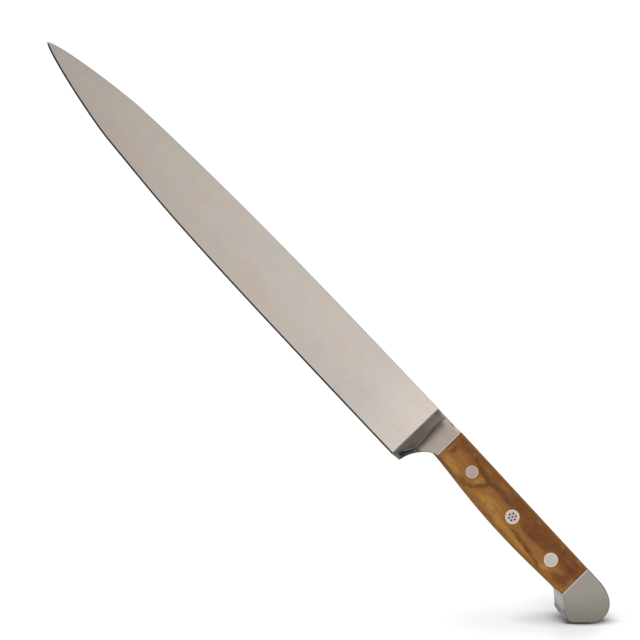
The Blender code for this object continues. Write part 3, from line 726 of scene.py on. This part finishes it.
def rivet_steel_finish(rivet, steel, centre, radius):
    """A head's steel, clouded by handling in its middle, with a painted highlight along its rim."""
    finish = Finish(rivet + "_rivet_head_steel")
    place = finish.place()
    colour = finish.steel_tone(steel, FINE_GRAIN, 0.05)
    clouds = finish.noise(finish.stretched(place, 420, 420, 0), 1.0, 0.4)
    stains = finish.noise(finish.stretched(place, -520, 520, 0), 1.0, 0.4)
    colour = finish.mix(finish.step(clouds, 0.45, 0.62) * 0.7, colour, shaded(steel, 0.93, 1.0, 1.02))
    colour = finish.mix(finish.step(stains, 0.45, 0.62) * 0.7, colour, shaded(steel, 1.05, 0.92, 0.94))
    from_centre = finish.stretched(finish.vectors("SUBTRACT", place, (*centre, 0)), 1, 1, 0)
    reach = finish.vectors("LENGTH", from_centre, output="Value")
    # Painted highlight: brighter along the rim.
    rim = finish.step(reach, radius - 0.9 * MM, radius - 0.35 * MM)
    colour = finish.mix(rim * 0.8, colour, shaded(steel, 1.38, 1.28, 1.16))
    return finish.shade(Base_Color=colour, Metallic=1.0, Roughness=0.36)


def engrave_rosette(piece, centre):
    """Drills a ring of shallow dimples round a middle one into the head."""
    deselect_all()
    drills = []
    for index in range(ROSETTE_COUNT + 1):
        turn = math.tau * index / ROSETTE_COUNT
        reach = ROSETTE_RADIUS if index < ROSETTE_COUNT else 0.0
        bpy.ops.mesh.primitive_cylinder_add(
            vertices=24, radius=DIMPLE_RADIUS, depth=2 * DIMPLE_DEPTH,
            location=(centre[0] + reach * math.cos(turn), centre[1] + reach * math.sin(turn), TOP_Z),
        )
        drills.append(bpy.context.object)
    deselect_all()
    for drill in drills:
        drill.select_set(True)
    bpy.context.view_layer.objects.active = drills[0]
    bpy.ops.object.join()
    make_active(piece)
    bpy.ops.object.modifier_add(type="BOOLEAN")
    cut = piece.modifiers[-1]
    cut.operation, cut.solver, cut.object = "DIFFERENCE", "EXACT", drills[0]
    bpy.ops.object.modifier_apply(modifier=cut.name)
    bpy.data.objects.remove(drills[0])


def add_headed_body(name, centre, head_radius, stem_radius, head_z, stem_end, rounding):
    """A round head with a stem that is drawn out of its inner face. It is left in edit mode."""
    deselect_all()
    outer, inner = head_z
    bpy.ops.mesh.primitive_cylinder_add(
        vertices=96, radius=head_radius, depth=abs(inner - outer),
        location=(*centre, (outer + inner) / 2),
    )
    piece = bpy.context.object
    piece.name = piece.data.name = name
    bpy.ops.object.transform_apply(location=True)
    bpy.ops.object.mode_set(mode="EDIT")
    select_faces(piece, lambda middle, normal: abs(middle.z - inner) < CLOSE)
    bpy.ops.mesh.inset(thickness=head_radius - stem_radius, depth=0)
    bpy.ops.mesh.extrude_region_move(TRANSFORM_OT_translate={"value": (0, 0, stem_end - inner)})
    bpy.ops.mesh.select_mode(type="EDGE")
    bpy.ops.mesh.select_all(action="DESELECT")
    mesh = bmesh.from_edit_mesh(piece.data)
    for edge in mesh.edges:
        if all(abs(end.co.z - outer) < CLOSE for end in edge.verts):
            edge.select_set(True)
    bmesh.update_edit_mesh(piece.data)
    bpy.ops.mesh.bevel(offset=rounding, segments=4, affect="EDGES")
    return piece


def head_circle(rivet):
    """Middle and radius of a rivet's head."""
    low, high = (Vector(corner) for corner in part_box(rivet + "_rivet_pin"))
    return ((low.x + high.x) / 2, (low.y + high.y) / 2), (high.x - low.x) / 2


def on_dimple(centre, normal):
    """The floors and walls of the dimples in the centre rivet's head, inside its rounded rim."""
    if not TOP_Z - 2 * DIMPLE_DEPTH < centre.z < TOP_Z - CLOSE:
        return False
    (middle_x, middle_y), _ = head_circle("centre")
    return math.hypot(centre.x - middle_x, centre.y - middle_y) < ROSETTE_RADIUS + 2 * DIMPLE_RADIUS


class HAMKNIFE_OT_rivets(bpy.types.Operator):
    """Three two-part rivets: a headed pin from the left side in a headed tube from the right side"""

    bl_idname = "ham_knife.rivets"
    bl_label = "Rivets"

    def execute(self, context):
        look = context.scene.ham_knife_look
        dimple_steel = plain_steel("dimple_steel", (0.05, 0.05, 0.045), 0.5, FINE_GRAIN)
        mouth = TOP_Z - HEAD_THICKNESS - END_GAP  # open end of each socket
        for rivet in RIVETS:
            centre, radius = head_circle(rivet)
            head_darkening = FRONT_RIVET_DARKER if rivet == "front" else (1.0,)
            steel = rivet_steel_finish(rivet, shaded(look.rivet_colour, *head_darkening), centre, radius)
            pin = add_headed_body(
                rivet + "_rivet_headed_pin", centre, radius, SHANK_RADIUS,
                (TOP_Z, TOP_Z - HEAD_THICKNESS), HEAD_THICKNESS + END_GAP, look.head_rounding,
            )
            bpy.ops.object.mode_set(mode="OBJECT")
            socket = add_headed_body(
                rivet + "_rivet_headed_tube", centre, radius, SOCKET_RADIUS,
                (0.0, HEAD_THICKNESS), mouth, look.head_rounding,
            )
            select_faces(socket, lambda middle, normal: abs(middle.z - mouth) < CLOSE)
            bpy.ops.mesh.inset(thickness=SOCKET_RADIUS - BORE_RADIUS, depth=0)
            inward = (0, 0, HEAD_THICKNESS - mouth)
            bpy.ops.mesh.extrude_region_move(TRANSFORM_OT_translate={"value": inward})
            bpy.ops.object.mode_set(mode="OBJECT")
            regions = [(steel, None)]
            if rivet == "centre":
                engrave_rosette(pin, centre)
                regions.append((dimple_steel, on_dimple))
            for piece, node in ((pin, rivet + "_rivet_pin"), (socket, rivet + "_rivet_socket")):
                finish_faces(piece, regions if piece == pin else regions[:1])
                finish_piece(piece, node, look.smoothing)
        return {"FINISHED"}


# Soft ovals in line with the cap's flat bottom, a painted shadow where the floor shows grey: middle, half
# sizes and weight
SHADOW = (
    ((175.9 * MM, -19.7 * MM), (67.6 * MM, 12.3 * MM), 0.242),
    ((183.0 * MM, -11.4 * MM), (25.0 * MM, 4.1 * MM), 0.266),
    ((194.6 * MM, -1.9 * MM), (13.5 * MM, 2.1 * MM), 0.543),
    ((190.0 * MM, -3.4 * MM), (15.3 * MM, 3.5 * MM), 0.504),
)
# A narrow painted contact shadow along the cap's flat bottom: middle and half sizes
CONTACT_PLACE, CONTACT_SIZE = (191.6 * MM, -5.9 * MM), (7.6 * MM, 0.6 * MM)


class HAMKNIFE_OT_stage(bpy.types.Operator):
    """Pale floor, soft sky, softbox and camera"""

    bl_idname = "ham_knife.stage"
    bl_label = "Stage"

    def execute(self, context):
        stage = context.scene.ham_knife_stage
        deselect_all()
        bpy.ops.mesh.primitive_plane_add(size=stage.floor_size, location=(0, 0, -FLOOR_DROP))
        floor = context.object
        floor.name = floor.data.name = "floor"
        bpy.ops.object.transform_apply(location=True)
        floor.data.materials.append(self.floor_finish())
        self.sky(context)
        key_place = Vector(stage.key_place)
        bpy.ops.object.light_add(type="AREA", location=key_place)
        key = context.object
        key.name = "key_softbox"
        key.data.size = stage.key_size
        key.data.energy = stage.key_power
        key.rotation_euler = (-key_place).to_track_quat("-Z", "Y").to_euler()
        key.visible_glossy = False
        bpy.ops.object.camera_add(location=stage.camera_place, rotation=stage.camera_turn)
        camera = context.object
        camera.data.sensor_width = SENSOR_WIDTH
        camera.data.lens = stage.focal_length
        camera.data.clip_start = 0.01
        context.scene.camera = camera
        context.scene.view_settings.view_transform = "Standard"
        return {"FINISHED"}

    def floor_finish(self):
        """Pale floor that the camera sees as white, except under the butt cap, where the real shadow
        shows inside painted ovals of shadow and a painted dark contact line.
        """
        finish = Finish("pale_floor")
        place = finish.place()
        # Painted shadow: the glow drops inside these ovals, so the floor shows grey.
        shadow = 0.0
        for centre, size, weight in SHADOW:
            shadow = finish.patch(place, centre, size, CAP_BOTTOM_ANGLE) * weight + shadow
        # Painted contact shadow: the floor's colour darkens along the cap's flat bottom.
        contact = finish.patch(place, CONTACT_PLACE, CONTACT_SIZE, CAP_BOTTOM_ANGLE)
        plain = finish.node("ShaderNodeBsdfDiffuse", None, {"Color": (0.8, 0.8, 0.8, 1)})
        pale = finish.mix(contact * 0.62, (0.24, 0.24, 0.24), (0.0, 0.0, 0.0))
        seen_plain = finish.node("ShaderNodeBsdfDiffuse", None, {"Color": pale})
        white = finish.mix(shadow + contact, (1.0, 1.0, 1.0), (0.0, 0.0, 0.0))
        glow = finish.node("ShaderNodeEmission", None, {"Color": white, "Strength": 0.93})
        to_camera = finish.node("ShaderNodeAddShader", None, {0: seen_plain, 1: glow})
        faint_glow = finish.node("ShaderNodeEmission", None, {"Color": WHITE, "Strength": 0.25})
        to_steel = finish.node("ShaderNodeAddShader", None, {0: plain, 1: faint_glow})
        seen = finish.by_ray("Is Glossy Ray", to_steel, plain)
        finish.end_in(finish.by_ray("Is Camera Ray", to_camera, seen))
        return finish.material

    def sky(self, context):
        """Plain greys: bright overhead, dark in between, pale at the horizon. The camera sees white."""
        world = bpy.data.worlds.new("studio_sky")
        context.scene.world = world
        world.use_nodes = True
        finish = Finish("studio_sky", world.node_tree)
        _, _, z = finish.axes(finish.node("ShaderNodeTexCoord", output="Generated"))
        level = finish.step(z, 0.66, 1.0, 0.13, 1.25) + finish.step(z, 0.22, 0.06, 0.0, 0.75)
        soft = finish.node("ShaderNodeBackground", None, {"Color": WHITE, "Strength": level})
        white = finish.node("ShaderNodeBackground", None, {"Color": WHITE, "Strength": 1.0})
        finish.end_in(finish.by_ray("Is Camera Ray", white, soft), "ShaderNodeOutputWorld")


class HAMKNIFE_PT_panel(bpy.types.Panel):
    """Lists the knife's pieces in the sidebar"""

    bl_idname = "HAMKNIFE_PT_panel"
    bl_label = "Ham knife"
    bl_space_type = "VIEW_3D"
    bl_region_type = "UI"
    bl_category = "Ham knife"

    def draw(self, context):
        for operator in OPERATORS:
            self.layout.operator(operator.bl_idname)
        for group in (context.scene.ham_knife_look, context.scene.ham_knife_stage):
            for name in group.bl_rna.properties.keys():
                if name not in ("rna_type", "name"):
                    self.layout.prop(group, name)


OPERATORS = (HAMKNIFE_OT_forging, HAMKNIFE_OT_scales, HAMKNIFE_OT_rivets, HAMKNIFE_OT_stage)
CLASSES = (HamKnifeLook, HamKnifeStage, *OPERATORS, HAMKNIFE_PT_panel)


def register():
    for each in CLASSES:
        bpy.utils.register_class(each)
    bpy.types.Scene.ham_knife_look = PointerProperty(type=HamKnifeLook)
    bpy.types.Scene.ham_knife_stage = PointerProperty(type=HamKnifeStage)


def unregister():
    del bpy.types.Scene.ham_knife_stage
    del bpy.types.Scene.ham_knife_look
    for each in reversed(CLASSES):
        bpy.utils.unregister_class(each)


def main():
    register()
    bpy.ops.ham_knife.stage()
    bpy.ops.ham_knife.forging()
    bpy.ops.ham_knife.scales()
    bpy.ops.ham_knife.rivets()


if __name__ == "__main__":
    main()
